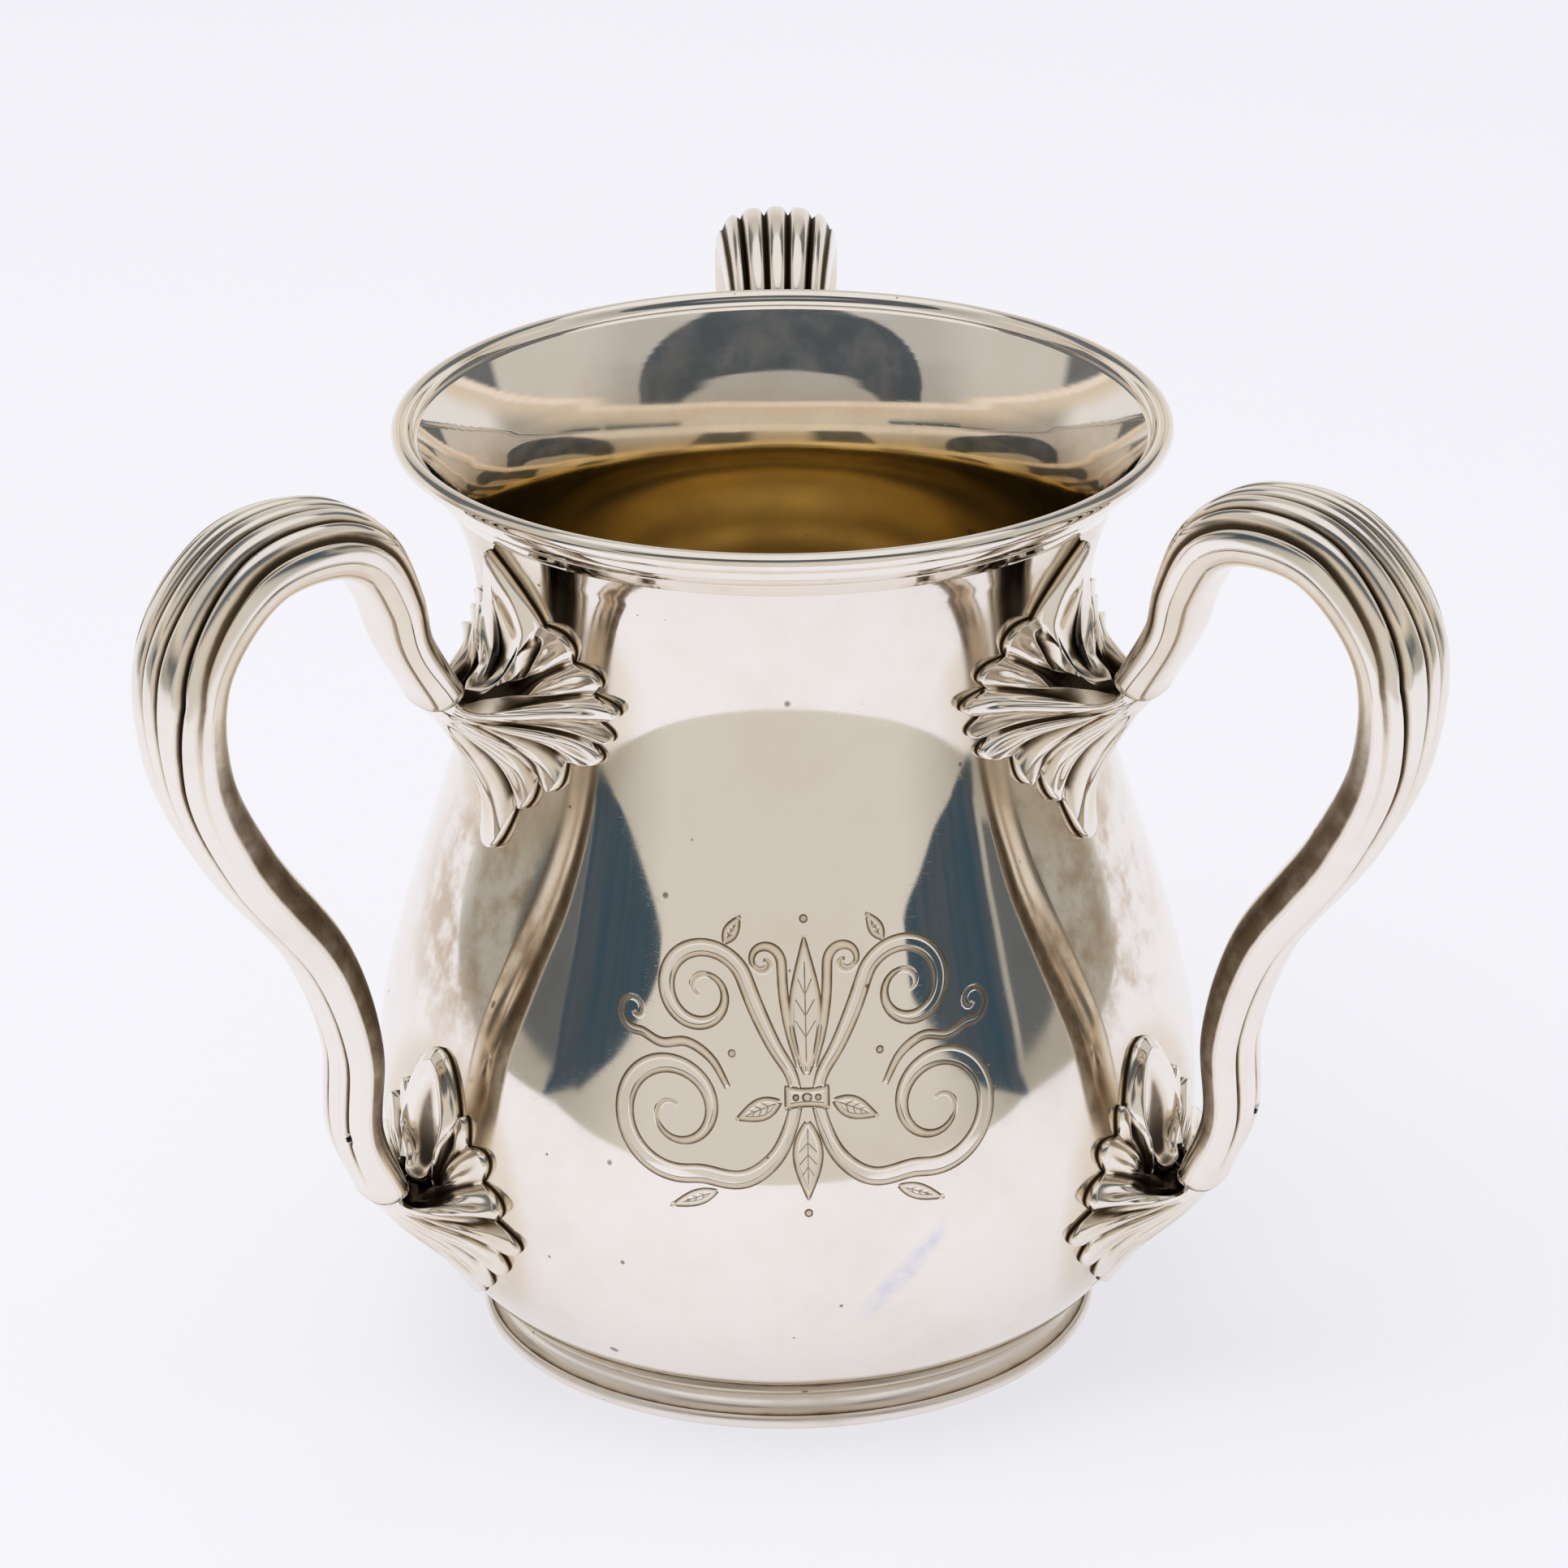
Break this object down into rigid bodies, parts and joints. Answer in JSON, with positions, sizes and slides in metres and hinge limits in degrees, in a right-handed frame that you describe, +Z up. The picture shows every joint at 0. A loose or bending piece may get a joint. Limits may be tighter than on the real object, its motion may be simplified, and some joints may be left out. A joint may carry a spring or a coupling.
{
  "type": "loving cup",
  "caption": "Pear-shaped silver loving cup with reeded loop handles, leaf terminals, moulded rim, low foot ring and gilt inside.",
  "frame": {"origin": "on the cup's axis at the height of the table it stands on, 1.2 mm below the centre of the base plate's underside", "axes": "+Z up along the cup's axis; +Y towards the back handle; +X to the right seen from the front"},
  "size_m": [0.2197, 0.1983, 0.1718],
  "materials": {
    "body_silver": "polished silver with light tarnish, gold wash inside",
    "trim_silver": "polished silver",
    "handle_silver": "polished silver, dark tarnish in the grooves",
    "leaf_silver": "polished silver, dark tarnish in the hollows"
  },
  "bodies": {
    "root": {"body_shell": "body_silver", "rim_moulding": "trim_silver", "foot_ring": "trim_silver", "base_plate": "body_silver", "back_handle_reeded_face": "handle_silver", "back_handle_plain_back": "handle_silver", "back_handle_upper_leaf": "leaf_silver", "back_handle_lower_leaf": "leaf_silver", "left_handle_reeded_face": "handle_silver", "left_handle_plain_back": "handle_silver", "left_handle_upper_leaf": "leaf_silver", "left_handle_lower_leaf": "leaf_silver", "right_handle_reeded_face": "handle_silver", "right_handle_plain_back": "handle_silver", "right_handle_upper_leaf": "leaf_silver", "right_handle_lower_leaf": "leaf_silver"}
  },
  "joints": []
}
